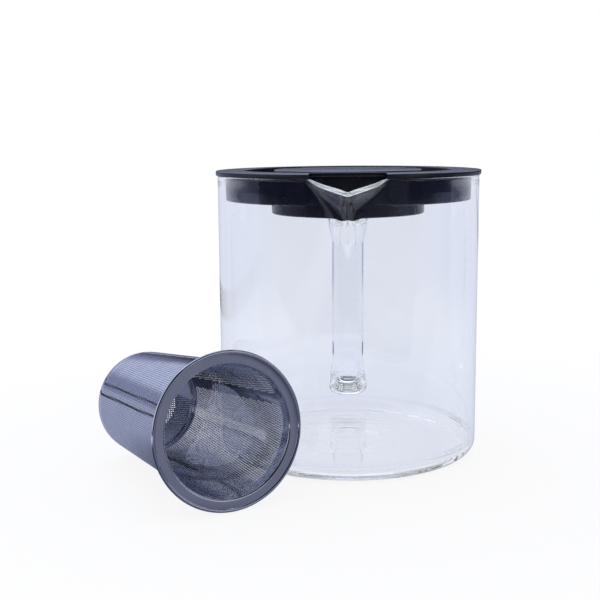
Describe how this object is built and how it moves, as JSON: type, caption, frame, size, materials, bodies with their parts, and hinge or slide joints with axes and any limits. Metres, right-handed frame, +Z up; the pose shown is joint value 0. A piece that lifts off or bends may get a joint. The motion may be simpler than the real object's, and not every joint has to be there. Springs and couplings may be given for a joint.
{
  "type": "fruit infuser pitcher",
  "caption": "Cylindrical glass pitcher with a pinched spout and a solid strap handle, a plug-in lid with a lift-out cap, and a perforated steel fruit basket lying beside it.",
  "frame": {"origin": "middle of the jug's flat underside, on the floor", "axes": "+Z up, -Y toward the spout, +Y toward the handle, +X to the right when the spout faces the viewer"},
  "size_m": [0.1827, 0.216, 0.1365],
  "materials": {
    "clear_glass": "fire-polished, clear",
    "black_plastic": "moulded, satin",
    "silicone": "moulded, translucent",
    "steel": "polished, perforated sheet"
  },
  "bodies": {
    "jug": {"glass_body": "clear_glass", "glass_handle": "clear_glass"},
    "lid": {"lid_moulding": "black_plastic"},
    "cap": {"lid_cap": "black_plastic", "cap_ring": "silicone"},
    "basket": {"basket_rim": "steel", "basket_wall": "steel", "basket_base": "steel"}
  },
  "joints": [
    {"name": "lid_lift", "type": "slide", "parent": "jug", "child": "lid", "axis": [0, 0, 1], "range_m": [0, 0.12]},
    {"name": "cap_lift", "type": "slide", "parent": "lid", "child": "cap", "axis": [0, 0, 1], "range_m": [0, 0.06]},
    {"name": "basket_lift", "type": "slide", "parent": "jug", "child": "basket", "axis": [0, 0, 1], "range_m": [0, 0.15]}
  ]
}
